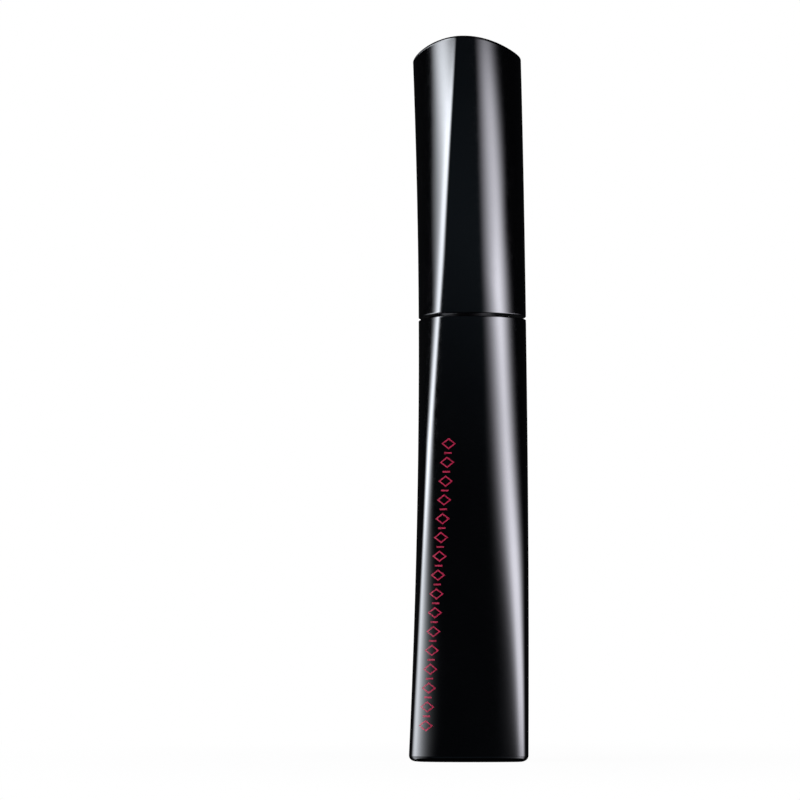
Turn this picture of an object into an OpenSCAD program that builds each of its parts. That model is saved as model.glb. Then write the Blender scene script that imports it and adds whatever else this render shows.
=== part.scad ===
// Mascara tube: a slim twisting glossy shell in two halves. The lower half holds the bottle of
// mascara, and the upper half is a screw cap that carries the wand and its curved brush.
// Millimetres, +Z up. The origin is on the base, on the axis of the neck and the wand.

/* [Outer shell] */
// Height of the closed tube
total_h = 121.3; // [118:0.05:126]
// Height of the seam between the tube and the cap
seam_z = 74.05; // [73.6:0.05:74.6]
// Open gap at the seam
seam_gap = 0.5; // [0.4:0.05:0.6]
// Rounding of the cap's lower edge
cap_edge = 0.12; // [0.1:0.01:0.3]
// Fall of the top face from its middle to the front and back
top_crown = 0.6; // [0.4:0.1:0.8]
// Fall of the top face from its middle to the left and right
top_arch = 3.3; // [2:0.1:4]
// Rounding of the edge around the base
base_edge = 0.9; // [0.5:0.1:1.2]
// Rounding of the edge around the top
top_edge = 0.35; // [0.3:0.05:0.6]
// Radius of the bore in both shells
shell_bore_r = 7.0; // [6.98:0.01:7.1]
// Sides of the shell's outline, a multiple of 4
shell_sides = 56; // [40:4:72]

/* [Bottle and neck] */
// Outer radius of the bottle
bottle_r = 6.9; // [6.7:0.05:6.95]
// Wall of the bottle
bottle_wall = 0.8; // [0.6:0.05:0.9]
// Radius of the neck under its thread
neck_r = 5.0; // [4.95:0.01:5.05]
// Top of the neck
neck_top = 87; // [86.8:0.1:87.2]
// Radius of the hole in the wiper's lip
wiper_hole_r = 2.05; // [2:0.01:2.1]
// Height of the mascara in the bottle
fill_top = 46; // [20:1:60]

/* [Screw thread] */
// Rise of the cap in one turn
thread_pitch = 2.5; // [2.4:0.05:2.6]
// How far each ridge stands out
thread_depth = 0.9; // [0.8:0.05:0.95]

/* [Wand] */
// Radius of the stem
stem_r = 1.95; // [1.8:0.05:1.95]
// Height of the stem's lower end with the tube closed
stem_end_z = 29.5; // [29:0.5:31]
// Height of the brush's tip with the tube closed
brush_tip_z = 3.8; // [3.7:0.1:5]
// Radius of the brush
brush_r = 2.6; // [2:0.05:2.6]
// How far the bow of the brush leaves the axis
brush_bow = 1.85; // [0:0.05:1.9]
// Rows of bristles
bristle_rows = 17; // [12:1:18]

/* [Hidden] */
$fn = 96;

// The outline is four bulged facets round the axis, in opposite pairs. The corner between the
// left and the front facet is a crease. Each triple is the value at the base, at BELT of the
// height and at the top, and a parabola joins them.
BELT = 0.6;
LEFT_FACET = [10.01, 8.95, 8.66];    // distance of the left and right facets from the middle
FRONT_FACET = [8.24, 9.21, 9.30];    // distance of the front and back facets from the middle
DRIFT = [-0.34, 0.38, -0.59];        // sideways place of the middle
TWIST = [-43.6, -35.4, -16.1];       // turn of the facets from the front, negative to the left
CREASE = [-52.3, -33.5, -9.2];       // turn of the crease, which every ring has a corner on
SOFT_POWER = [22, 7, 22];            // sharpness of the two soft corners
CREASE_POWER = [7.5, 80];            // sharpness of the crease at the base and at the top
FACET_R = [30, 13];                  // radius of the facets at the base and at the top
TOP_TURN = -3;                       // turn of the top face's arch from the front
TOP_REACH = 9.5;                     // distance from the middle at which the top face's falls hold
RIM_SHARE = 0.98;                    // share of the height at which the rim's corners are placed

body_top = seam_z - seam_gap / 2;
cap_bottom = seam_z + seam_gap / 2;
floor_z = 2;                         // top of the shell's floor
bottle_z = floor_z + 0.1;
bottle_in_z = bottle_z + 0.9;
bottle_in_r = bottle_r - bottle_wall;
foot_r = neck_r + thread_depth;      // foot of the neck, and the crest of its thread
neck_bore_r = neck_r - bottle_wall;
shoulder_z = 69;
wiper_flange_h = 0.6;
wiper_r = 3.4;                       // bore of the wiper above its lip
lip_z = 72;                          // height of the wiper's lip
washer_h = 1.2;
washer_z = neck_top + wiper_flange_h + 0.15;
cap_ceiling = washer_z + washer_h + 0.05;
cap_skirt_z = cap_bottom + 0.35;
cap_insert_r = shell_bore_r - 0.1;
cap_bore_r = foot_r + 0.25;
socket_r = stem_r + 0.05;
socket_top = cap_ceiling + 9;
socket_outer_r = 3.4;
rib_w = 0.8;                         // width of the ribs that hold the socket in the shell
thread_w = 1.0;                      // width of a ridge at its root
thread_crest_w = 0.5;
thread_steps = 24;                   // steps in one turn of a ridge
thread_start_z = 77.2;
neck_foot_top = seam_z;
seam_edge = 0.1;                     // broken edge round the top of the body
collar_r = 7.6;
groove_r = 6.5;                      // middle of the ring groove under the base
groove_w = 0.6;
groove_depth = 0.3;
cap_hollow_top = total_h - 5.6;
brush_sweep_r = 4.7;                 // radius that the bowed brush sweeps in the mascara
wire_r = 0.45;
wire_grip = 6;                       // length of the wire inside the stem

// --- rules for the outline -------------------------------------------------------------------

function along(v, t) =
    v[0] * (t - BELT) * (t - 1) / BELT
    + v[1] * t * (t - 1) / (BELT * (BELT - 1))
    + v[2] * t * (t - BELT) / (1 - BELT);

// Distance to a facet's arc of radius rho, which passes d from the middle, at an angle off its axis
function to_facet(d, rho, off) =
    (d - rho) * cos(off) + sqrt(rho * rho - pow((d - rho) * sin(off), 2));

function facet_radius(t) = 1 / (1 / FACET_R[0] + (1 / FACET_R[1] - 1 / FACET_R[0]) * pow(t, 1.3));

// Distance from the middle to the outline at the turn az, from the front to the right
function outline_r(t, az) = let (
    twist = along(TWIST, t),
    rho = facet_radius(t),
    crease_share = pow(cos(az - twist), 2),
    crease_power = CREASE_POWER[0] * pow(CREASE_POWER[1] / CREASE_POWER[0], t),
    power = pow(along(SOFT_POWER, t), 1 - crease_share) * pow(crease_power, crease_share),
    left = along(LEFT_FACET, t),
    front = along(FRONT_FACET, t),
    reach = [for (side = [[45, front], [-45, left], [225, front], [135, left]])
        to_facet(side[1], rho, az - twist - side[0])],
    near = min(reach)
) near * pow(sum([for (r = reach) pow(r / near, -power)]), -1 / power);

function sum(v, i = 0) = i < len(v) ? v[i] + sum(v, i + 1) : 0;

// Corner k of the outline at height z, drawn in by inset, then shrunk about the middle
function corner(k, z, inset = 0, shrink = 1) = let (
    t = z / total_h,
    az = along(CREASE, t) + k * 360 / shell_sides,
    r = (outline_r(t, az) - inset) * shrink
) [r * sin(az) + along(DRIFT, t), -r * cos(az)];

// Level ring of the shell at height z
function level_ring(z, inset = 0) =
    [for (k = [0 : shell_sides - 1]) let (p = corner(k, z, inset)) [p[0], p[1], z]];

// Height of the top face over a point: an arch from left to right, crowned from front to back
function top_z(p) = let (
    across = (p[0] - DRIFT[2]) * cos(TOP_TURN) + p[1] * sin(TOP_TURN),
    ahead = (p[0] - DRIFT[2]) * sin(TOP_TURN) - p[1] * cos(TOP_TURN)
) total_h - top_arch * pow(across / TOP_REACH, 2) - top_crown * pow(ahead / TOP_REACH, 2);

// Height of the top face over corner k of the outline
function rim_z(k) = top_z(corner(k, RIM_SHARE * total_h));

module cylinder_from(r, bottom, top)
    translate([0, 0, bottom]) cylinder(r = r, h = top - bottom);

// Closed solid through rings that all have the same number of points, from the lowest up
module loft(rings) {
    n = len(rings[0]);
    last = len(rings) - 1;
    polyhedron(
        points = [for (ring = rings) each ring],
        faces = concat(
            [[for (k = [0 : n - 1]) k]],
            [for (i = [0 : last - 1], k = [0 : n - 1]) let (a = i * n + k, b = i * n + (k + 1) % n)
                each [[a, a + n, b], [b, a + n, b + n]]],
            [[for (k = [n - 1 : -1 : 0]) last * n + k]]
        ),
        convexity = 6
    );
}

// --- tube --------------------------------------------------------------------------------------

// A quarter-round edge as [inset, drop] pairs, from the flat face to the upright side
function round_edge(r) = [for (a = [0 : 22.5 : 90]) [r * (1 - sin(a)), r * (1 - cos(a))]];

module body_shell() {
    side_steps = 20;
    side_top = body_top - seam_edge;
    loft([
        for (e = round_edge(base_edge)) level_ring(e[1], e[0]),
        for (i = [1 : side_steps]) level_ring(base_edge + (side_top - base_edge) * i / side_steps),
        level_ring(body_top, seam_edge)
    ]);
}

module outer_body() color("#0c0c0f")
    difference() {
        body_shell();
        cylinder_from(shell_bore_r, floor_z, body_top + 1);
        foot_groove();
    }

// Shallow ring groove under the base
module foot_groove()
    difference() {
        cylinder_from(groove_r + groove_w / 2, -1, groove_depth);
        cylinder_from(groove_r - groove_w / 2, -2, groove_depth + 1);
    }

// Bottle with a floor, a shoulder and a threaded neck
module inner_bottle() color("#1b1b1f") {
    rotate_extrude() polygon([
        [0, bottle_z], [bottle_r, bottle_z], [bottle_r, shoulder_z],
        [foot_r, shoulder_z + 1.2], [foot_r, neck_foot_top], [neck_r, neck_foot_top],
        [neck_r, neck_top], [neck_bore_r, neck_top], [neck_bore_r, shoulder_z + 0.6],
        [bottle_in_r, shoulder_z - 1.2], [bottle_in_r, bottle_in_z], [0, bottle_in_z]
    ]);
    thread_ridge(neck_r - 0.1, foot_r, thread_start_z, 0, 450);
}

// Ridge of a right-hand thread between two turns, on the radius root and out or in to crest
module thread_ridge(root, crest, start_z, from_deg, to_deg) {
    steps = round((to_deg - from_deg) * thread_steps / 360);
    run_out = 3;                     // steps over which each end rises from the wall
    loft([
        for (i = [0 : steps]) let (
            az = from_deg + i * 360 / thread_steps,
            z = start_z + thread_pitch * az / 360,
            grown = min(1, (min(i, steps - i) + 0.4) / run_out),
            tip = root + (crest - root) * grown,
            outward = [[root, thread_w / 2], [tip, thread_crest_w / 2],
                [tip, -thread_crest_w / 2], [root, -thread_w / 2]],
            section = crest > root ? outward : [for (k = [3 : -1 : 0]) outward[k]]
        )
            [for (p = section) [p[0] * cos(az), p[0] * sin(az), z + p[1]]]
    ]);
}

// Ring that closes the mouth of the shell round the foot of the neck
module shoulder_collar() color("#101013")
    rotate_extrude() polygon([
        [foot_r + 0.05, shoulder_z + 1.6], [shell_bore_r - 0.03, shoulder_z + 1.6],
        [shell_bore_r - 0.03, body_top + 0.02], [collar_r, body_top + 0.02],
        [collar_r, body_top + 0.2], [foot_r + 0.05, body_top + 0.2]
    ]);

// Soft sleeve in the neck, with a lip that wipes the stem
module wiper() color("#2a2a2e")
    rotate_extrude() polygon([
        [wiper_r, neck_top + wiper_flange_h], [neck_r - 0.1, neck_top + wiper_flange_h],
        [neck_r - 0.1, neck_top + 0.02], [neck_bore_r - 0.03, neck_top + 0.02],
        [neck_bore_r - 0.03, lip_z + 5.5], [wiper_hole_r + 0.65, lip_z], [wiper_hole_r, lip_z],
        [wiper_hole_r, lip_z + 0.8], [wiper_r, lip_z + 6]
    ]);

// The mascara, with the hollow that the brush has swept in it
module mascara_fill() color("#050506")
    translate([0, 0, bottle_in_z + 0.05]) difference() {
        cylinder(r = bottle_in_r - 0.03, h = fill_top - bottle_in_z);
        cylinder_from(brush_sweep_r, -1, fill_top);
    }

// --- cap and wand ------------------------------------------------------------------------------

module cap_shell() {
    side_steps = 14;
    top_steps = 5;
    side_bottom = cap_bottom + cap_edge;
    corners = [0 : shell_sides - 1];
    loft([
        for (e = round_edge(cap_edge)) level_ring(cap_bottom + e[1], e[0]),
        for (i = [1 : side_steps])
            [for (k = corners) let (
                z = side_bottom + (rim_z(k) - top_edge - side_bottom) * i / side_steps,
                p = corner(k, z)
            ) [p[0], p[1], z]],
        for (a = [22.5 : 22.5 : 67.5])
            [for (k = corners) let (p = corner(k, rim_z(k), top_edge * (1 - cos(a))))
                [p[0], p[1], top_z(p) - top_edge * (1 - sin(a))]],
        for (i = [0 : top_steps - 1])
            [for (k = corners) let (p = corner(k, rim_z(k), top_edge, 1 - i / top_steps))
                [p[0], p[1], top_z(p)]],
        [for (k = corners) let (p = corner(k, rim_z(k), top_edge, 0.08)) [p[0], p[1], total_h]]
    ]);
}

module outer_cap() color("#0c0c0f")
    difference() {
        cap_shell();
        cylinder_from(shell_bore_r, cap_bottom - 1, cap_hollow_top);
    }

// Threaded insert with a socket for the stem
module inner_cap() color("#1b1b1f") {
    difference() {
        union() {
            cylinder_from(cap_insert_r, cap_skirt_z, cap_ceiling + 2);
            cylinder_from(socket_outer_r, cap_ceiling + 1, socket_top + 1.5);
            for (turn = [0 : 60 : 300]) rotate(turn)
                translate([socket_outer_r - 0.4, -rib_w / 2, cap_ceiling + 1])
                    cube([cap_insert_r - socket_outer_r, rib_w, socket_top - cap_ceiling]);
        }
        cylinder_from(cap_bore_r, cap_skirt_z - 1, cap_ceiling);
        cylinder_from(socket_r, cap_ceiling - 1, socket_top);
    }
    thread_ridge(
        cap_bore_r + 0.1, cap_bore_r - thread_depth, thread_start_z - thread_pitch / 2, 90, 360
    );
}

// Liner that seals the cap against the rim of the neck
module seal_washer() color("#d8d8d4")
    difference() {
        cylinder_from(cap_bore_r - 0.35, washer_z, washer_z + washer_h);
        cylinder_from(stem_r + 0.15, washer_z - 1, washer_z + washer_h + 1);
    }

// Stem with a blind hole in its end for the brush's wire
module stem() color("#141416")
    difference() {
        rotate_extrude() polygon([
            [0, stem_end_z], [stem_r - 0.45, stem_end_z], [stem_r - 0.25, stem_end_z + 0.5],
            [stem_r - 0.13, stem_end_z + 3.5], [stem_r - 0.07, stem_end_z + 14],
            [stem_r, stem_end_z + 40], [stem_r, socket_top - 0.2], [0, socket_top - 0.2]
        ]);
        cylinder_from(wire_r + 0.05, stem_end_z - 1, stem_end_z + wire_grip);
    }

brush_len = stem_end_z - brush_tip_z;
bow_zero = 1.075;                    // share of the brush at which the bow would be back on the axis
bow_peak = 4 / 27 * pow(bow_zero, 3);

// Sideways bow of the brush at a share of its length from the stem
function bow(share) = -brush_bow * pow(share, 2) * (bow_zero - share) / bow_peak;
// Lean of the brush there, in degrees
function lean(share) = atan((bow(share + 0.01) - bow(share - 0.01)) / (0.02 * brush_len));

// Wire that carries the bristles, gripped in the stem and bowed below it
module brush_core() color("#55555a") {
    steps = 16;
    sides = 10;
    loft([
        for (i = [steps : -1 : 0]) let (share = i / steps, tilt = lean(share))
            [for (k = [0 : sides - 1]) let (
                across = wire_r * cos(k * 360 / sides),
                deep = wire_r * sin(k * 360 / sides)
            ) [bow(share) + across * cos(tilt), deep,
               stem_end_z - share * brush_len + across * sin(tilt)]],
        [for (k = [0 : sides - 1])
            [wire_r * cos(k * 360 / sides), wire_r * sin(k * 360 / sides), stem_end_z + wire_grip - 0.2]]
    ]);
}

// Rows of bristles, one disc for each row
module bristles() color("#0a0a0b")
    for (row = [0 : bristle_rows - 1]) let (
        share = (row + 0.5) / bristle_rows,
        r = brush_r * (0.94 + 0.06 * sin(180 * share))
    )
        translate([bow(share), 0, stem_end_z - share * brush_len])
            rotate([0, -lean(share), 0]) cylinder(r = r, h = 0.5, center = true);

outer_body();
inner_bottle();
shoulder_collar();
wiper();
mascara_fill();
outer_cap();
inner_cap();
seal_washer();
stem();
brush_core();
bristles();
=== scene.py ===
"""Looks of the mascara tube: smooth shells, turned inner pieces, twisted wire, bristles and materials."""

import math
import random

import bpy
import numpy as np
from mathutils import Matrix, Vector


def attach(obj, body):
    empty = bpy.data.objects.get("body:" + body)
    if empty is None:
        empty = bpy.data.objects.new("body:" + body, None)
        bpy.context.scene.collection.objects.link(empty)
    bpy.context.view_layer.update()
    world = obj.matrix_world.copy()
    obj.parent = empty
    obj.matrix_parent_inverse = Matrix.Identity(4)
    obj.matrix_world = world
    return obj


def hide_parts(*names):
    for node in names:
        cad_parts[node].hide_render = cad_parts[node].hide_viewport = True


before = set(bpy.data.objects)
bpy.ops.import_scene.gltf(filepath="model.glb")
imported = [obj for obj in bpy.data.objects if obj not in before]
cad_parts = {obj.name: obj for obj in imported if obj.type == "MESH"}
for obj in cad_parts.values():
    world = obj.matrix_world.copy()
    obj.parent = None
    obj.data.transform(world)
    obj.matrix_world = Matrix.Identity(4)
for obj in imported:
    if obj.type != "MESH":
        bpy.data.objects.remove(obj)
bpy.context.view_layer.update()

MM = 0.001

# --- sizes, in millimetres, as in the CAD ---------------------------------------------------------

# The two shells
TOTAL_H = 121.3
SEAM_Z = 74.05
SEAM_GAP = 0.5
BODY_TOP = SEAM_Z - SEAM_GAP / 2
CAP_BOTTOM = SEAM_Z + SEAM_GAP / 2
CAP_EDGE = 0.12
TOP_CROWN = 0.6
TOP_ARCH = 3.3
BASE_EDGE = 0.9
TOP_EDGE = 0.35
SHELL_BORE_R = 7.0
BORE_EDGE = 0.06
FLOOR_Z = 2.0
CAP_HOLLOW_TOP = TOTAL_H - 5.6

# Their outline: four bulged facets, with a crease in front and one behind, and a soft corner on each
# side. Three values are those at the base, at BELT of the height and at the top, and two are those at
# the base and at the top. TWIST and CREASE are in degrees.
BELT = 0.6
LEFT_FACET = (10.01, 8.95, 8.66)
FRONT_FACET = (8.24, 9.21, 9.30)
DRIFT = (-0.34, 0.38, -0.59)
TWIST = (-43.6, -35.4, -16.1)
CREASE = (-52.3, -33.5, -9.2)
SOFT_POWER = (22, 7, 22)
CREASE_POWER = (7.5, 80)
FACET_R = (30, 13)
FACET_R_EASE = 1.3
TOP_TURN = math.radians(-3)
TOP_REACH = 9.5
RIM_SHARE = 0.98
SHELL_SIDES = 320
CREASE_GATHER = 0.45

# The inner pieces
AXIS_R = 0.02
NECK_R = 5.0
NECK_TOP = 87.0
NECK_BORE_R = 4.2
FOOT_R = 5.9
BOTTLE_R = 6.9
BOTTLE_IN_R = 6.1
BOTTLE_Z = 2.1
SHOULDER_Z = 69.0
THREAD_PITCH = 2.5
THREAD_DEPTH = 0.9
THREAD_START_Z = 77.2
THREAD_HALF_ROOT = 0.5
THREAD_HALF_CREST = 0.25
THREAD_RUN_OUT = 0.6
THREAD_STEP = 0.08
CAP_BORE_R = 6.15
CAP_INSERT_R = 6.9
STEM_R = 1.95
STEM_END_Z = 29.5
STEM_TOP = 97.8
STEM_HOLE_R = 0.5

# The brush
BRUSH_TIP_Z = 3.8
BRUSH_LEN = STEM_END_Z - BRUSH_TIP_Z
BRUSH_R = 2.6
BRUSH_BOW = 1.85
BOW_ZERO = 1.075
BOW_PEAK = 0.184
BRISTLE_ROWS = 17
BRISTLES_IN_ROW = 170
BRISTLE_RADII = (0.06, 0.057, 0.054, 0.05, 0.03)
GOLDEN_TURN = 2.399963
WIRE_R = 0.45
WIRE_GRIP = 6.0
WIRE_PITCH = 2.9


# --- meshes ---------------------------------------------------------------------------------------

def add_mesh(name, points, faces, material, body, node):
    """A smooth-shaded mesh from points in millimetres, riding on a body and replacing a node, if any."""
    mesh = bpy.data.meshes.new(name)
    mesh.from_pydata((np.asarray(points) * MM).tolist(), [], faces)
    mesh.shade_smooth()
    mesh.validate()
    piece = bpy.data.objects.new(name, mesh)
    bpy.context.scene.collection.objects.link(piece)
    mesh.materials.append(material)
    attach(piece, body)
    if node:
        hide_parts(node)
    return piece


def ring_faces(ring_count, sides):
    """Quads between neighbouring rings of the same number of points, with a face on each end."""
    faces = []
    for i in range(ring_count - 1):
        for k in range(sides):
            a = i * sides + k
            b = i * sides + (k + 1) % sides
            faces.append((a, b, b + sides, a + sides))
    last = (ring_count - 1) * sides
    faces.append(tuple(range(sides - 1, -1, -1)))
    faces.append(tuple(range(last, last + sides)))
    return faces


def grid_faces(columns, rows):
    """Quads of a grid whose points run along each row in turn."""
    line = columns + 1
    return [(a, a + 1, a + line + 1, a + line)
            for j in range(rows) for a in range(j * line, j * line + columns)]


def follow_big_faces(piece):
    """Normals follow the large faces, so that narrow rounded edges shade as rounded edges."""
    weighted = piece.modifiers.new("even_normals", "WEIGHTED_NORMAL")
    weighted.mode = "FACE_AREA"
    weighted.weight = 80


def rounded(corners, steps=4):
    """An outline from (radius, height, rounding) corners, with an arc at each rounded corner."""
    most = 0.45
    outline = []
    for i, (r, z, bend) in enumerate(corners):
        here = Vector((r, z))
        if bend == 0 or i in (0, len(corners) - 1):
            outline.append((r, z))
            continue
        before = Vector(corners[i - 1][:2]) - here
        after = Vector(corners[i + 1][:2]) - here
        reach = min(bend, before.length * most, after.length * most)
        start = here + before.normalized() * reach
        end = here + after.normalized() * reach
        for s in range(steps + 1):
            t = s / steps
            p = start * (1 - t) ** 2 + here * 2 * t * (1 - t) + end * t ** 2
            outline.append((p.x, p.y))
    return outline


def turned(name, corners, material, body, node, sides=96, shape=None):
    """A turned solid from its outline. shape, if any, gives the radius from (radius, height, turn)."""
    outline = rounded(corners)
    points = []
    for r, z in outline:
        for k in range(sides):
            turn = 2 * math.pi * k / sides
            radius = shape(r, z, turn) if shape else r
            points.append((radius * math.cos(turn), radius * math.sin(turn), z))
    if outline[0] == outline[-1]:
        points = points[:-sides]
        faces = ring_faces(len(outline) - 1, sides)[:-2]
        last = (len(outline) - 2) * sides
        faces += [(last + k, last + (k + 1) % sides, (k + 1) % sides, k) for k in range(sides)]
    else:
        faces = ring_faces(len(outline), sides)
    piece = add_mesh(name, points, faces, material, body, node)
    follow_big_faces(piece)
    return piece


# --- outline of the shells ------------------------------------------------------------------------

def along(triple, t):
    """Parabola through the values at the base, at BELT of the height and at the top."""
    base, belt, top = triple
    return (
        base * (t - BELT) * (t - 1) / BELT
        + belt * t * (t - 1) / (BELT * (BELT - 1))
        + top * t * (t - BELT) / (1 - BELT)
    )


def outline_r(t, az):
    """Distance from the middle to the outline, at turns az in radians from the front to the right."""
    twist = np.radians(along(TWIST, t))
    rho = 1 / (1 / FACET_R[0] + (1 / FACET_R[1] - 1 / FACET_R[0]) * t ** FACET_R_EASE)
    crease_share = np.cos(az - twist) ** 2
    crease_power = CREASE_POWER[0] * (CREASE_POWER[1] / CREASE_POWER[0]) ** t
    power = along(SOFT_POWER, t) ** (1 - crease_share) * crease_power ** crease_share
    left, front = along(LEFT_FACET, t), along(FRONT_FACET, t)
    reach = []
    for side, distance in ((45, front), (-45, left), (225, front), (135, left)):
        off = az - twist - math.radians(side)
        centre = distance - rho
        reach.append(centre * np.cos(off) + np.sqrt(rho ** 2 - (centre * np.sin(off)) ** 2))
    near = np.min(reach, axis=0)
    return near * sum((r / near) ** -power for r in reach) ** (-1 / power)


def shell_turns(z):
    """Turns of one ring's points, gathered close round the two creases. z is one height or one for each."""
    even = np.arange(SHELL_SIDES) * 2 * math.pi / SHELL_SIDES
    return np.radians(along(CREASE, z / TOTAL_H)) + even - CREASE_GATHER * np.sin(2 * even)


def shell_places(z, inset=0.0, shrink=1.0):
    """Sideways and depth places of a ring's points, drawn in by inset and shrunk about the middle."""
    az = shell_turns(z)
    r = (outline_r(z / TOTAL_H, az) - inset) * shrink
    return r * np.sin(az) + along(DRIFT, z / TOTAL_H), -r * np.cos(az)


def shell_ring(z, inset=0.0, shrink=1.0, level=None):
    """One ring of a shell, from the outline at height z, placed at level."""
    x, y = shell_places(z, inset, shrink)
    return np.column_stack([x, y, np.broadcast_to(z if level is None else level, x.shape)])


def top_z(x, y):
    """Height of the top face: an arch from left to right, crowned from front to back."""
    across = (x - DRIFT[2]) * math.cos(TOP_TURN) + y * math.sin(TOP_TURN)
    ahead = (x - DRIFT[2]) * math.sin(TOP_TURN) - y * math.cos(TOP_TURN)
    return TOTAL_H - TOP_ARCH * (across / TOP_REACH) ** 2 - TOP_CROWN * (ahead / TOP_REACH) ** 2


def bore_ring(z, radius):
    """One ring of the round bore, with its points in line with the outline's."""
    az = shell_turns(z)
    return np.column_stack([radius * np.sin(az), -radius * np.cos(az), np.full(SHELL_SIDES, z)])


def quarter_round(radius, steps=8):
    """(inset, rise) pairs round an edge, from the flat face to the upright side."""
    quarter = [math.pi / 2 * i / steps for i in range(steps + 1)]
    return [(radius * (1 - math.sin(a)), radius * (1 - math.cos(a))) for a in quarter]


def shell(name, rings, material, node, body):
    """A shell piece through its rings."""
    return add_mesh(name, np.concatenate(rings), ring_faces(len(rings), len(rings[0])),
                    material, body, node)


def make_body_shell(material):
    """Lower shell: base, rounded base edge, twisting side, broken top edge, mouth and bore."""
    rings = [shell_ring(0, BASE_EDGE, share) for share in (0.1, 0.5, 0.9)]
    rings += [shell_ring(rise, inset) for inset, rise in quarter_round(BASE_EDGE)]
    edge, close = 0.1, 0.05
    side = np.linspace(BASE_EDGE, BODY_TOP - edge, 90)
    rings += [shell_ring(z) for z in (side[0] + close, *side[1:-1], side[-1] - close, side[-1])]
    rings += [shell_ring(BODY_TOP - edge + rise, inset)
              for inset, rise in ((0.01, 0.04), (0.03, 0.07), (0.06, 0.09), (edge, edge))]
    mouth = bore_ring(BODY_TOP, SHELL_BORE_R)
    rings += [bore_ring(BODY_TOP, SHELL_BORE_R + BORE_EDGE), mouth - (0, 0, BORE_EDGE)]
    rings += [bore_ring(z, SHELL_BORE_R) for z in np.linspace(BODY_TOP - 0.3, FLOOR_Z + 0.3, 6)]
    rings += [bore_ring(FLOOR_Z, r) for r in (SHELL_BORE_R, 1.0)]
    return shell("outer_body_skin", rings, material, "outer_body", "tube")


def make_cap_shell(material):
    """Cap shell: blind bore, rounded lower edge, twisting side, rounded rim and arched top face."""
    rings = [bore_ring(CAP_HOLLOW_TOP, r) for r in (1.0, SHELL_BORE_R - 0.2)]
    rings += [bore_ring(z, SHELL_BORE_R)
              for z in np.linspace(CAP_HOLLOW_TOP - 0.2, CAP_BOTTOM + BORE_EDGE, 6)]
    rings += [bore_ring(CAP_BOTTOM, SHELL_BORE_R + BORE_EDGE)]
    rings += [shell_ring(CAP_BOTTOM + rise, inset) for inset, rise in quarter_round(CAP_EDGE)]
    side_bottom = CAP_BOTTOM + CAP_EDGE
    rim = top_z(*shell_places(RIM_SHARE * TOTAL_H))
    rings += [shell_ring(side_bottom + (rim - TOP_EDGE - side_bottom) * share)
              for share in (0.001, *np.linspace(0, 1, 60)[1:-1], 0.999, 1.0)]
    for inset, drop in reversed(quarter_round(TOP_EDGE)):
        level = top_z(*shell_places(rim, inset)) - drop
        rings.append(shell_ring(rim, inset, 1, level))
    for shrink in np.linspace(1, 0.04, 26)[1:]:
        level = top_z(*shell_places(rim, TOP_EDGE, shrink))
        rings.append(shell_ring(rim, TOP_EDGE, shrink, level))
    return shell("outer_cap_skin", rings, material, "outer_cap", "cap")


# --- printed decoration ---------------------------------------------------------------------------

INK_LIFT = 0.02
LOZENGES = 16
TOP_MARK = (-3.55, 52.6)
BOTTOM_MARK = (-7.4, 6.0)


def on_shell(x, z):
    """Point of the front of the body at sideways place x and height z, just proud of the lacquer."""
    t = z / TOTAL_H
    az = np.linspace(-1.4, 1.4, 1601)
    r = outline_r(t, az)
    across = r * np.sin(az) + along(DRIFT, t)
    a = float(np.interp(x, across, az))
    reach = float(outline_r(t, np.array([a]))[0]) + INK_LIFT
    return (reach * math.sin(a) + along(DRIFT, t), -reach * math.cos(a), z)


def make_print(material):
    """A plain chain of crimson lozenges with a short bar between each two, leaning with the crease."""
    points, faces = [], []
    steps = 5

    def stroke(outer, inner):
        """Band between two lines of points, which follows the shell."""
        first = len(points)
        for (x0, z0), (x1, z1) in zip(outer, inner):
            points.extend([on_shell(x0, z0), on_shell(x1, z1)])
        for k in range(len(outer) - 1):
            a = first + 2 * k
            faces.append((a, a + 1, a + 3, a + 2))

    def subdivided(corners):
        """Points along a line through corners."""
        line = []
        for (x0, z0), (x1, z1) in zip(corners, corners[1:]):
            line += [(x0 + (x1 - x0) * s / steps, z0 + (z1 - z0) * s / steps) for s in range(steps)]
        return line + [corners[-1]]

    last_mark = 2 * (LOZENGES - 1)
    for mark in range(last_mark + 1):
        share = mark / last_mark
        x, z = (top + (bottom - top) * share for top, bottom in zip(TOP_MARK, BOTTOM_MARK))
        if mark % 2 == 0:
            edges = [[(x - wide, z), (x, z + tall), (x + wide, z), (x, z - tall), (x - wide, z)]
                     for wide, tall in ((1.2, 0.95), (0.86, 0.66))]
        else:
            edges = [[(x - 0.62, z + rise), (x + 0.62, z + rise)] for rise in (-0.14, 0.14)]
        stroke(subdivided(edges[0]), subdivided(edges[1]))
    return add_mesh("printed_lozenges", points, faces, material, "tube", None)


# --- inner pieces ---------------------------------------------------------------------------------

def thread(root_r, depth, start_z, from_turn, to_turn):
    """A shape for turned(): a thread between two turns, on the points at root_r."""

    def threaded(r, z, turn):
        if r != root_r:
            return r
        grown = 0.0
        for k in range(3):
            total = turn + 2 * math.pi * k
            if from_turn <= total <= to_turn:
                off = abs(z - (start_z + THREAD_PITCH * total / (2 * math.pi)))
                flank = (THREAD_HALF_ROOT - off) / (THREAD_HALF_ROOT - THREAD_HALF_CREST)
                run_out = min(total - from_turn, to_turn - total) / THREAD_RUN_OUT
                grown = max(grown, min(1, flank, run_out))
        return r + depth * grown

    return threaded


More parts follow.
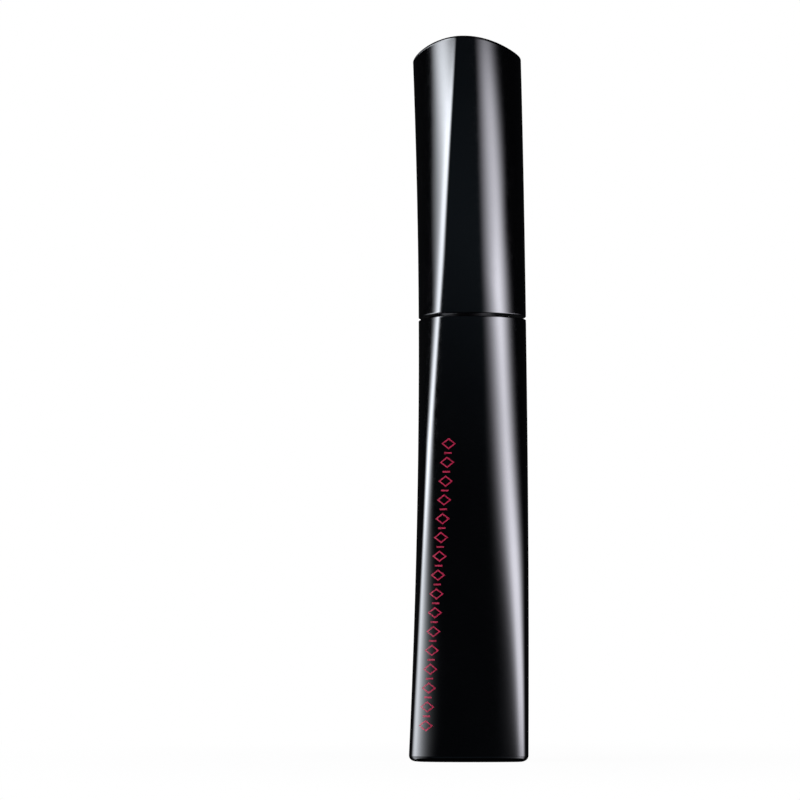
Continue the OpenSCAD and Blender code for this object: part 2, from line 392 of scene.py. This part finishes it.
def make_bottle(material):
    """Bottle with its threaded neck."""
    inner_floor, thread_low, thread_high = BOTTLE_Z + 0.9, 76.4, 81.2
    thread_rows = [(NECK_R, z, 0) for z in np.arange(thread_low, thread_high, THREAD_STEP)]
    corners = [(AXIS_R, BOTTLE_Z, 0), (BOTTLE_R, BOTTLE_Z, 0.8), (BOTTLE_R, SHOULDER_Z, 0.5),
               (FOOT_R, SHOULDER_Z + 1.2, 0.3), (FOOT_R, SEAM_Z, 0.15), (NECK_R, SEAM_Z, 0.15),
               *thread_rows, (NECK_R, NECK_TOP, 0.12), (NECK_BORE_R, NECK_TOP, 0.12),
               (NECK_BORE_R, SHOULDER_Z + 0.6, 0.3), (BOTTLE_IN_R, SHOULDER_Z - 1.2, 0.3),
               (BOTTLE_IN_R, inner_floor, 0.6), (AXIS_R, inner_floor, 0)]
    male = thread(NECK_R, THREAD_DEPTH, THREAD_START_Z, 0, 2.5 * math.pi)
    return turned("bottle", corners, material, "tube", "inner_bottle", 128, male)


def make_collar(material):
    """Ring round the foot of the neck, with its thin flange on the mouth of the shell."""
    inner, outer, flange = FOOT_R + 0.05, SHELL_BORE_R - 0.03, 7.6
    low, seat, top = SHOULDER_Z + 1.6, BODY_TOP + 0.02, BODY_TOP + 0.2
    corners = [(inner, low, 0), (outer, low, 0.1), (outer, seat, 0.05), (flange, seat, 0.04),
               (flange, top, 0.12), (inner, top, 0.1), (inner, low, 0)]
    return turned("collar_ring", corners, material, "tube", "shoulder_collar", 128)


def make_wiper(material):
    """Wiper sleeve with its flange and thin lip."""
    lip_r, sleeve_r, bore_r, flange_r = 2.05, 4.17, 3.4, 4.9
    lip_z, cone_z, seat, top = 72, 77.5, NECK_TOP + 0.02, NECK_TOP + 0.6
    corners = [(lip_r, lip_z, 0), (lip_r + 0.65, lip_z, 0.2), (sleeve_r, cone_z, 0.4),
               (sleeve_r, seat, 0.05), (flange_r, seat, 0.05), (flange_r, top, 0.15),
               (bore_r, top, 0.15), (bore_r, cone_z + 0.5, 0.4), (lip_r, lip_z + 0.8, 0.15),
               (lip_r, lip_z, 0)]
    return turned("wiper_sleeve", corners, material, "tube", "wiper")


def make_fill(material):
    """The mascara, with the ridged hollow that the brush leaves and a smeared top."""
    hollow_r, outer_r = 4.72, 6.05
    bottom, low, high = 3.1, 4.0, 44.5
    corners = [(hollow_r, bottom, 0), (outer_r, bottom, 0.2)]
    corners += [(outer_r, z, 0) for z in np.linspace(low, high, 50)]
    corners += [(6.0, high + 1.1, 0.3), (5.4, high + 1.5, 0.3), (4.9, high + 0.9, 0.3)]
    corners += [(hollow_r + 0.06, z, 0) for z in np.linspace(high, low, 110)]
    corners += [(hollow_r, bottom, 0)]

    def smeared(r, z, turn):
        if r > outer_r - 0.1 or z < bottom + 0.1:
            return r
        wave = math.sin(3 * turn + z * 1.9) * 0.5 + math.sin(z * 4.3 - 2 * turn)
        return max(r + 0.07 * wave, hollow_r - 0.01)

    return turned("mascara_cream", corners, material, "tube", "mascara_fill", 72, smeared)


def make_insert(material):
    """Insert of the cap, with the female thread and the socket of the stem."""
    skirt_z, ceiling, socket_top = CAP_BOTTOM + 0.35, 89.0, 98.0
    roof, knob_top = ceiling + 2, socket_top + 1.5
    socket_r, knob_r = 2.0, 3.4
    thread_low, thread_high = 76.0, 79.9
    thread_rows = [(CAP_BORE_R, z, 0) for z in np.arange(thread_high, thread_low, -THREAD_STEP)]
    corners = [(AXIS_R, socket_top, 0), (socket_r, socket_top, 0.1), (socket_r, ceiling, 0.1),
               (CAP_BORE_R, ceiling, 0.3), *thread_rows, (CAP_BORE_R, skirt_z, 0.12),
               (CAP_INSERT_R, skirt_z, 0.12), (CAP_INSERT_R, roof, 0.2),
               (knob_r, roof, 0.4), (knob_r, knob_top, 0.3), (AXIS_R, knob_top, 0)]
    female = thread(CAP_BORE_R, -THREAD_DEPTH, THREAD_START_Z - THREAD_PITCH / 2, math.pi / 2, 2 * math.pi)
    return turned("cap_insert", corners, material, "cap", "inner_cap", 128, female)


def make_liner(material):
    """Foam liner ring."""
    low, top, inner, outer = 87.75, 88.95, STEM_R + 0.15, CAP_BORE_R - 0.35
    corners = [(inner, low, 0), (outer, low, 0.15), (outer, top, 0.15), (inner, top, 0.1), (inner, low, 0)]
    return turned("liner_ring", corners, material, "liner", "seal_washer")


def make_stem(material):
    """Stem with its slight taper and rounded end, and the blind hole for the wire."""
    end, hole_top = STEM_END_Z, STEM_END_Z + WIRE_GRIP
    corners = [(AXIS_R, hole_top, 0), (STEM_HOLE_R, hole_top, 0.05), (STEM_HOLE_R, end, 0.05),
               (STEM_R - 0.5, end, 0.3), (STEM_R - 0.22, end + 0.6, 0.5), (STEM_R - 0.13, end + 3.5, 1.0),
               (STEM_R - 0.07, end + 14, 3), (STEM_R, end + 40, 3), (STEM_R, STEM_TOP, 0.1),
               (AXIS_R, STEM_TOP, 0)]
    return turned("wand_rod", corners, material, "wand_stem", "stem", 64)


# --- brush ----------------------------------------------------------------------------------------

def bow(share):
    """Sideways place of the brush's core at a share of its length from the stem."""
    return -BRUSH_BOW * share ** 2 * (BOW_ZERO - share) / BOW_PEAK


def core_frame(share):
    """Point, direction and the two cross directions of the core at a share of its length."""
    step = 0.01
    at = np.array([bow(share), 0, STEM_END_Z - share * BRUSH_LEN])
    ahead = np.array([(bow(share + step) - bow(share - step)) / (2 * step), 0, -BRUSH_LEN])
    ahead /= np.linalg.norm(ahead)
    deep = np.array([0, 1, 0])
    return at, ahead, np.cross(deep, ahead), deep


def tube_along(path, radii, sides):
    """Points and faces of a tube through path, with one radius for each point."""
    path = np.asarray(path, float)
    off_path = (0.31, 0.95, 0.05)
    points = []
    ahead = np.gradient(path, axis=0)
    for p, d, r in zip(path, ahead, radii):
        d = d / np.linalg.norm(d)
        side = np.cross(d, off_path)
        side /= np.linalg.norm(side)
        up = np.cross(d, side)
        for k in range(sides):
            a = 2 * math.pi * k / sides
            points.append(p + (side * math.cos(a) + up * math.sin(a)) * r)
    return points, ring_faces(len(path), sides)


def make_core(material):
    """Two wires twisted together, from inside the stem to the brush's tip."""
    points, faces = [], []
    strand = WIRE_R * 0.48
    gripped = WIRE_GRIP - 0.3
    total = BRUSH_LEN + gripped
    steps = 260
    for phase in (0, math.pi):
        path = []
        for i in range(steps + 1):
            run = total * i / steps
            share = (run - gripped) / BRUSH_LEN
            at, _, across, deep = core_frame(max(share, 0))
            if share < 0:
                at = np.array([0, 0, STEM_END_Z - share * BRUSH_LEN])
            turn = 2 * math.pi * run / WIRE_PITCH + phase
            path.append(at + (across * math.cos(turn) + deep * math.sin(turn)) * strand)
        wire, wire_faces = tube_along(path, [strand] * len(path), 8)
        faces += [tuple(k + len(points) for k in face) for face in wire_faces]
        points += wire
    return add_mesh("twisted_wire", points, faces, material, "cap", "brush_core")


def make_bristles(material):
    """Fine bristles that leave the wire all along it and clump into rows, swept a little to the tip."""
    rng = random.Random(7)
    first_root, first_tip, last = 0.012, 0.02, 0.985
    points, faces = [], []
    clumps = [(rng.uniform(0, 6.28), rng.uniform(0, 6.28)) for _ in range(BRISTLE_ROWS)]
    for i in range(BRISTLE_ROWS * BRISTLES_IN_ROW):
        turn = i * GOLDEN_TURN + rng.gauss(0, 0.1)
        broad, fine = clumps[i // BRISTLES_IN_ROW]
        row = i // BRISTLES_IN_ROW + 0.5 + 0.1 * math.cos(turn)
        row += 0.12 * math.sin(2 * turn + broad) + 0.09 * math.sin(5 * turn + fine)
        tip_share = min(max((row + rng.gauss(0, 0.1)) / BRISTLE_ROWS, first_tip), last)
        root_share = min(max((row + rng.uniform(-0.9, 0.9)) / BRISTLE_ROWS, first_root), last)
        at, ahead, across, deep = core_frame(tip_share)
        root = core_frame(root_share)[0] - at
        out = across * math.cos(turn) + deep * math.sin(turn)
        length = BRUSH_R * (0.94 + 0.06 * math.sin(math.pi * tip_share)) * rng.uniform(0.92, 0.99)
        sweep = rng.gauss(0.06, 0.035) if tip_share < 0.95 else 0
        path = [at + root * (1 - s) ** 1.6 + out * length * s + ahead * length * sweep * s * s
                for s in (0.1, 0.35, 0.65, 0.85, 1.0)]
        fibre, fibre_faces = tube_along(path, BRISTLE_RADII, 4)
        faces += [tuple(k + len(points) for k in face) for face in fibre_faces]
        points += fibre
    return add_mesh("brush_bristles", points, faces, material, "cap", "bristles")


# --- materials ------------------------------------------------------------------------------------

class Finish:
    """A Principled material with a few shared ways to vary it over the surface."""

    def __init__(self, name, roughness, specular=0.5, coat=0.0, coat_roughness=0.03, metallic=0.0):
        self.material = bpy.data.materials.new(name)
        self.material.use_nodes = True
        self.nodes = self.material.node_tree.nodes
        self.links = self.material.node_tree.links
        self.shader = self.nodes["Principled BSDF"]
        self.shader.inputs["Roughness"].default_value = roughness
        self.shader.inputs["Specular IOR Level"].default_value = specular
        self.shader.inputs["Coat Weight"].default_value = coat
        self.shader.inputs["Coat Roughness"].default_value = coat_roughness
        self.shader.inputs["Metallic"].default_value = metallic
        self.place = self.nodes.new("ShaderNodeTexCoord").outputs["Object"]

    def stretched(self, scale):
        """Object coordinates stretched by a scale on each axis."""
        mapping = self.nodes.new("ShaderNodeMapping")
        mapping.inputs["Scale"].default_value = scale
        self.links.new(self.place, mapping.inputs["Vector"])
        return mapping.outputs["Vector"]

    def noise(self, scale, detail=3.0, place=None):
        """Noise, 0 to 1, with a scale in features for each metre."""
        node = self.nodes.new("ShaderNodeTexNoise")
        node.inputs["Scale"].default_value = scale
        node.inputs["Detail"].default_value = detail
        self.links.new(place or self.place, node.inputs["Vector"])
        return node.outputs["Fac"]

    def cells(self, scale):
        """Distance to the nearest cell centre."""
        node = self.nodes.new("ShaderNodeTexVoronoi")
        node.inputs["Scale"].default_value = scale
        self.links.new(self.place, node.inputs["Vector"])
        return node.outputs["Distance"]

    def colours(self, value, stops):
        """Colour ramp over value, from (position, (r, g, b)) stops, into the base colour."""
        ramp = self.nodes.new("ShaderNodeValToRGB")
        elements = ramp.color_ramp.elements
        while len(elements) < len(stops):
            elements.new(0.5)
        for element, (position, colour) in zip(elements, stops):
            element.position = position
            element.color = (*colour, 1)
        self.links.new(value, ramp.inputs["Fac"])
        self.links.new(ramp.outputs["Color"], self.shader.inputs["Base Color"])

    def vary(self, socket, value, low, high):
        """Maps value from its middle range onto a socket of the shader."""
        spread = self.nodes.new("ShaderNodeMapRange")
        spread.inputs["From Min"].default_value = 0.3
        spread.inputs["From Max"].default_value = 0.7
        spread.inputs["To Min"].default_value = low
        spread.inputs["To Max"].default_value = high
        self.links.new(value, spread.inputs["Value"])
        self.links.new(spread.outputs["Result"], self.shader.inputs[socket])

    def bump(self, value, height, strength):
        """Relief of a given height in metres."""
        node = self.nodes.new("ShaderNodeBump")
        node.inputs["Distance"].default_value = height
        node.inputs["Strength"].default_value = strength
        self.links.new(value, node.inputs["Height"])
        self.links.new(node.outputs["Normal"], self.shader.inputs["Normal"])


def lacquer_black():
    """Deep black piano lacquer with the faintest orange peel."""
    f = Finish("lacquer_black", 0.08, 0.5, 1.0, 0.03)
    f.colours(f.noise(120), [(0.3, (0.0003, 0.0003, 0.0005)), (0.7, (0.0008, 0.0008, 0.001))])
    f.vary("Roughness", f.noise(900, 4), 0.07, 0.12)
    f.bump(f.noise(420, 2), 0.000003, 0.6)
    return f.material


def collar_gloss():
    """Gloss moulded ring with a fine grain."""
    f = Finish("collar_gloss", 0.14, 0.5, 0.4, 0.08)
    f.colours(f.noise(300), [(0.3, (0.008, 0.008, 0.01)), (0.7, (0.014, 0.014, 0.016))])
    f.vary("Roughness", f.noise(1500, 4), 0.1, 0.2)
    f.bump(f.noise(2500, 3), 0.000004, 0.5)
    return f.material


def moulded_satin(name, low, high, roughness):
    """Satin moulded plastic with a fine spark-eroded grain."""
    f = Finish(name, roughness, 0.45)
    f.colours(f.noise(250, 4), [(0.3, low), (0.7, high)])
    f.vary("Roughness", f.noise(1800, 5), roughness - 0.06, roughness + 0.08)
    f.bump(f.noise(9000, 4), 0.000012, 0.6)
    return f.material


def wiper_soft():
    """Soft polyethylene with smears of mascara."""
    f = Finish("wiper_soft", 0.5, 0.4)
    f.colours(f.noise(500, 5), [(0.4, (0.012, 0.012, 0.013)), (0.62, (0.055, 0.055, 0.06))])
    f.vary("Roughness", f.noise(700, 4), 0.3, 0.6)
    f.bump(f.noise(1400, 4), 0.00004, 0.6)
    return f.material


def wet_cream():
    """Thick wet mascara."""
    f = Finish("wet_cream", 0.25, 0.5, 0.6, 0.12)
    f.colours(f.noise(600, 5), [(0.3, (0.002, 0.002, 0.0025)), (0.7, (0.007, 0.007, 0.008))])
    f.vary("Roughness", f.noise(800, 3), 0.16, 0.4)
    f.bump(f.noise(900, 5), 0.00022, 0.8)
    return f.material


def liner_foam():
    """Closed-cell foam liner."""
    f = Finish("liner_foam", 0.75, 0.3)
    f.colours(f.noise(900, 5), [(0.3, (0.6, 0.6, 0.57)), (0.7, (0.78, 0.78, 0.75))])
    f.vary("Roughness", f.noise(1500, 3), 0.65, 0.85)
    f.bump(f.cells(5200), 0.00006, 0.7)
    return f.material


def stem_gloss():
    """Glossy extruded stem with faint lengthwise draw lines."""
    f = Finish("stem_gloss", 0.16, 0.5, 0.5, 0.06)
    f.colours(f.noise(350, 4), [(0.3, (0.003, 0.003, 0.0035)), (0.7, (0.006, 0.006, 0.007))])
    f.vary("Roughness", f.noise(1200, 4), 0.12, 0.22)
    f.bump(f.noise(2500, 2, f.stretched((1, 1, 0.02))), 0.000003, 0.5)
    return f.material


def wire_steel():
    """Drawn steel wire with mascara dried in its grooves."""
    f = Finish("wire_steel", 0.35, 0.5, 0.0, 0.03, 1.0)
    f.colours(f.noise(1100, 4), [(0.42, (0.01, 0.01, 0.011)), (0.6, (0.26, 0.26, 0.27))])
    f.vary("Roughness", f.noise(2500, 4), 0.25, 0.5)
    f.bump(f.noise(7000, 3), 0.00001, 0.6)
    return f.material


def bristle_nylon():
    """Black nylon fibres with a thin coat of mascara."""
    f = Finish("bristle_nylon", 0.42, 0.4)
    f.colours(f.noise(2600, 4), [(0.3, (0.003, 0.003, 0.0035)), (0.7, (0.014, 0.014, 0.015))])
    f.vary("Roughness", f.noise(3000, 3), 0.3, 0.55)
    f.bump(f.noise(9000, 3), 0.00003, 0.7)
    return f.material


def crimson_ink():
    """Screen-printed crimson ink."""
    f = Finish("crimson_ink", 0.3, 0.4, 0.3, 0.1)
    f.colours(f.noise(4000, 4), [(0.35, (0.30, 0.008, 0.035)), (0.65, (0.42, 0.016, 0.06))])
    f.vary("Roughness", f.noise(3000, 3), 0.25, 0.42)
    f.bump(f.noise(9000, 3), 0.000005, 0.5)
    return f.material


# --- studio ---------------------------------------------------------------------------------------

FLOOR_DROP = 0.00002
BOX_LOW = -0.3
BOX_HIGH = 0.62
CAMERA_PLACE = (0, -0.588, 0.022)
CAMERA_ANGLE = math.radians(13.04)
CAMERA_PAN = math.radians(1.15)
CAMERA_TILT = math.radians(3.739)


def make_floor():
    """Pale seamless floor for the camera.

    Reflections pass it and find the softboxes going on below, dimmer, as over a dark glossy table.
    """
    size, steps = 3.0, 24
    points = [(size * (i / steps - 0.5), size * (j / steps - 0.5), 0)
              for j in range(steps + 1) for i in range(steps + 1)]
    mesh = bpy.data.meshes.new("floor")
    mesh.from_pydata(points, [], grid_faces(steps, steps))
    floor = bpy.data.objects.new("floor", mesh)
    bpy.context.scene.collection.objects.link(floor)
    floor.location.z = -FLOOR_DROP
    material = bpy.data.materials.new("pale_floor")
    material.use_nodes = True
    nodes, links = material.node_tree.nodes, material.node_tree.links
    pale = nodes["Principled BSDF"]
    pale.inputs["Base Color"].default_value = (0.86, 0.86, 0.86, 1)
    pale.inputs["Roughness"].default_value = 0.9
    pale.inputs["Specular IOR Level"].default_value = 0.0
    glow = nodes.new("ShaderNodeEmission")
    glow.inputs["Color"].default_value = (1, 1, 1, 1)
    place = nodes.new("ShaderNodeTexCoord").outputs["Object"]
    far = nodes.new("ShaderNodeVectorMath")
    far.operation = "LENGTH"
    links.new(place, far.inputs[0])
    fade = nodes.new("ShaderNodeMapRange")
    fade.interpolation_type = "SMOOTHSTEP"
    fade.inputs["From Min"].default_value = 0.02
    fade.inputs["From Max"].default_value = 0.12
    fade.inputs["To Min"].default_value = 0.97
    links.new(far.outputs["Value"], fade.inputs["Value"])
    seamless = nodes.new("ShaderNodeMixShader")
    links.new(fade.outputs["Result"], seamless.inputs["Fac"])
    links.new(pale.outputs["BSDF"], seamless.inputs[1])
    links.new(glow.outputs["Emission"], seamless.inputs[2])
    unseen = nodes.new("ShaderNodeBsdfTransparent")
    mix = nodes.new("ShaderNodeMixShader")
    rays = nodes.new("ShaderNodeLightPath")
    links.new(rays.outputs["Is Camera Ray"], mix.inputs["Fac"])
    links.new(unseen.outputs["BSDF"], mix.inputs[1])
    links.new(seamless.outputs["Shader"], mix.inputs[2])
    links.new(mix.outputs["Shader"], nodes["Material Output"].inputs["Surface"])
    mesh.materials.append(material)


def make_world():
    """White surround for the camera, dim surround for reflections and fill."""
    bpy.context.scene.view_settings.view_transform = "Standard"
    world = bpy.data.worlds.new("studio")
    bpy.context.scene.world = world
    world.use_nodes = True
    nodes, links = world.node_tree.nodes, world.node_tree.links
    nodes.clear()
    white = nodes.new("ShaderNodeBackground")
    white.inputs["Color"].default_value = (1, 1, 1, 1)
    white.inputs["Strength"].default_value = 1.0
    dim = nodes.new("ShaderNodeBackground")
    dim.inputs["Color"].default_value = (0.9, 0.92, 1.0, 1)
    dim.inputs["Strength"].default_value = 0.005
    mix = nodes.new("ShaderNodeMixShader")
    rays = nodes.new("ShaderNodeLightPath")
    out = nodes.new("ShaderNodeOutputWorld")
    links.new(rays.outputs["Is Camera Ray"], mix.inputs["Fac"])
    links.new(dim.outputs["Background"], mix.inputs[1])
    links.new(white.outputs["Background"], mix.inputs[2])
    links.new(mix.outputs["Shader"], out.inputs["Surface"])


def smooth(share):
    """Smooth step from 0 to 1."""
    share = min(max(share, 0.0), 1.0)
    return share * share * (3 - 2 * share)


def softbox(name, side, reach, colour, plan):
    """Tall curved softbox round the tube, unseen by the camera. side is -1 on the left, 1 on the right.

    It stands at the distance reach, and what is behind it shines through. Each row of the plan is a
    height, the turns where the light starts to rise, is full, starts to fall and ends, in degrees away
    from the front, then how late it rises and how early it falls, and its radiance. Above and below the
    plan the nearest row holds.
    """
    columns, rows = 72, 92
    heights, *settings = zip(*plan)
    points, levels = [], []
    for j in range(rows + 1):
        height = BOX_LOW + (BOX_HIGH - BOX_LOW) * j / rows
        start, full, fall, end, lead, tail, peak = [float(np.interp(height, heights, v)) for v in settings]
        for i in range(columns + 1):
            turn = start + (end - start) * i / columns
            points.append((side * reach * math.sin(math.radians(turn)),
                           -reach * math.cos(math.radians(turn)), height))
            risen = smooth((turn - start) / (full - start)) ** lead
            left_over = smooth((end - turn) / (end - fall)) ** tail
            levels.append(peak * risen * left_over)
    mesh = bpy.data.meshes.new(name)
    mesh.from_pydata(points, [], grid_faces(columns, rows))
    mesh.attributes.new("level", "FLOAT", "POINT").data.foreach_set("value", levels)
    material = bpy.data.materials.new(name)
    material.use_nodes = True
    nodes, links = material.node_tree.nodes, material.node_tree.links
    nodes.clear()
    level = nodes.new("ShaderNodeAttribute")
    level.attribute_name = "level"
    glow = nodes.new("ShaderNodeEmission")
    glow.inputs["Color"].default_value = (*colour, 1)
    links.new(level.outputs["Fac"], glow.inputs["Strength"])
    clear = nodes.new("ShaderNodeBsdfTransparent")
    both = nodes.new("ShaderNodeAddShader")
    links.new(glow.outputs["Emission"], both.inputs[0])
    links.new(clear.outputs["BSDF"], both.inputs[1])
    out = nodes.new("ShaderNodeOutputMaterial")
    links.new(both.outputs["Shader"], out.inputs["Surface"])
    mesh.materials.append(material)
    box = bpy.data.objects.new(name, mesh)
    bpy.context.scene.collection.objects.link(box)
    box.visible_camera = False
    box.visible_shadow = False


def make_lights():
    """A broad softbox on the left, a slanting one on the right and a faint cool fill in front."""
    softbox("left_box", -1, 0.5, (0.89, 0.93, 1.0), (
        (-0.09, 40, 112, 116, 146, 1, 1, 1.6),
        (-0.05, 40, 112, 116, 146, 1, 1, 0.3),
        (-0.022, 14, 104, 104, 148, 1.6, 1, 4.2),
        (0.006, 14, 104, 104, 148, 1.6, 1, 4.9),
        (0.053, 40, 104, 112, 137, 1.6, 1, 5.4),
        (0.09, 58, 101, 102, 134, 1, 1, 10.5),
        (0.13, 29, 62, 64, 121, 1, 1, 11.6),
        (0.155, 28, 58, 66, 118, 1, 1, 12.0),
        (0.195, 24, 54, 68, 101, 1, 1, 14.0),
        (0.225, 22, 54, 66, 98, 1, 1, 1.5),
        (0.3, 28, 60, 72, 110, 1, 1, 9.0),
        (0.4, 28, 60, 72, 110, 1, 1, 8.0),
        (0.46, 28, 60, 72, 110, 1, 1, 0.4)))
    softbox("right_box", 1, 0.5, (0.91, 0.9, 1.0), (
        (-0.09, 8, 64, 76, 140, 3, 2, 2.4),
        (-0.05, 8, 64, 76, 140, 3, 2, 0.5),
        (-0.022, 8, 64, 76, 142, 3, 2, 5.5),
        (0.006, 8, 64, 76, 142, 3, 2, 7.7),
        (0.053, 12, 60, 64, 150, 2, 3, 9.2),
        (0.09, 18, 62, 54, 124, 1, 3, 8.0),
        (0.13, 20, 48, 38, 104, 1, 3, 11.2),
        (0.155, 22, 46, 44, 80, 1, 3, 7.4),
        (0.195, 26, 46, 46, 78, 1, 3, 5.4),
        (0.225, 26, 46, 48, 76, 1, 3, 0.8),
        (0.3, 26, 46, 48, 76, 1, 3, 5.5),
        (0.4, 26, 46, 48, 76, 1, 3, 4.5),
        (0.46, 26, 46, 48, 76, 1, 3, 0.3)))
    softbox("front_fill", 1, 0.55, (0.58, 0.8, 1.0), (
        (-0.09, -60, -20, 30, 75, 1, 1, 0.05),
        (-0.05, -60, -20, 30, 75, 1, 1, 0.01),
        (0.053, -60, -20, 30, 75, 1, 1, 0.01),
        (0.09, -60, -20, 30, 75, 1, 1, 0.03),
        (0.13, -60, -20, 30, 75, 1, 1, 0.075),
        (0.155, -60, -20, 30, 75, 1, 1, 0.08),
        (0.195, -60, -20, 30, 75, 1, 1, 0.05),
        (0.225, -60, -20, 30, 75, 1, 1, 0.04),
        (0.4, -60, -20, 30, 75, 1, 1, 0.06),
        (0.46, -60, -20, 30, 75, 1, 1, 0.01)))


def make_camera():
    """Camera a little above the table, tilted up and turned left."""
    camera = bpy.data.cameras.new("camera")
    camera.angle = CAMERA_ANGLE
    camera.clip_start = 0.01
    eye = bpy.data.objects.new("camera", camera)
    bpy.context.scene.collection.objects.link(eye)
    eye.location = CAMERA_PLACE
    level = math.cos(CAMERA_TILT)
    look = Vector((-math.sin(CAMERA_PAN) * level, math.cos(CAMERA_PAN) * level, math.sin(CAMERA_TILT)))
    eye.rotation_mode = "QUATERNION"
    eye.rotation_quaternion = look.to_track_quat("-Z", "Y")
    bpy.context.scene.camera = eye


make_camera()
make_world()
make_lights()
make_floor()

lacquer = lacquer_black()
make_body_shell(lacquer)
make_cap_shell(lacquer)
make_print(crimson_ink())
make_bottle(moulded_satin("bottle_satin", (0.012, 0.012, 0.014), (0.022, 0.022, 0.025), 0.36))
make_collar(collar_gloss())
make_wiper(wiper_soft())
make_fill(wet_cream())
make_insert(moulded_satin("insert_satin", (0.011, 0.011, 0.012), (0.02, 0.02, 0.022), 0.4))
make_liner(liner_foam())
make_stem(stem_gloss())
make_core(wire_steel())
make_bristles(bristle_nylon())
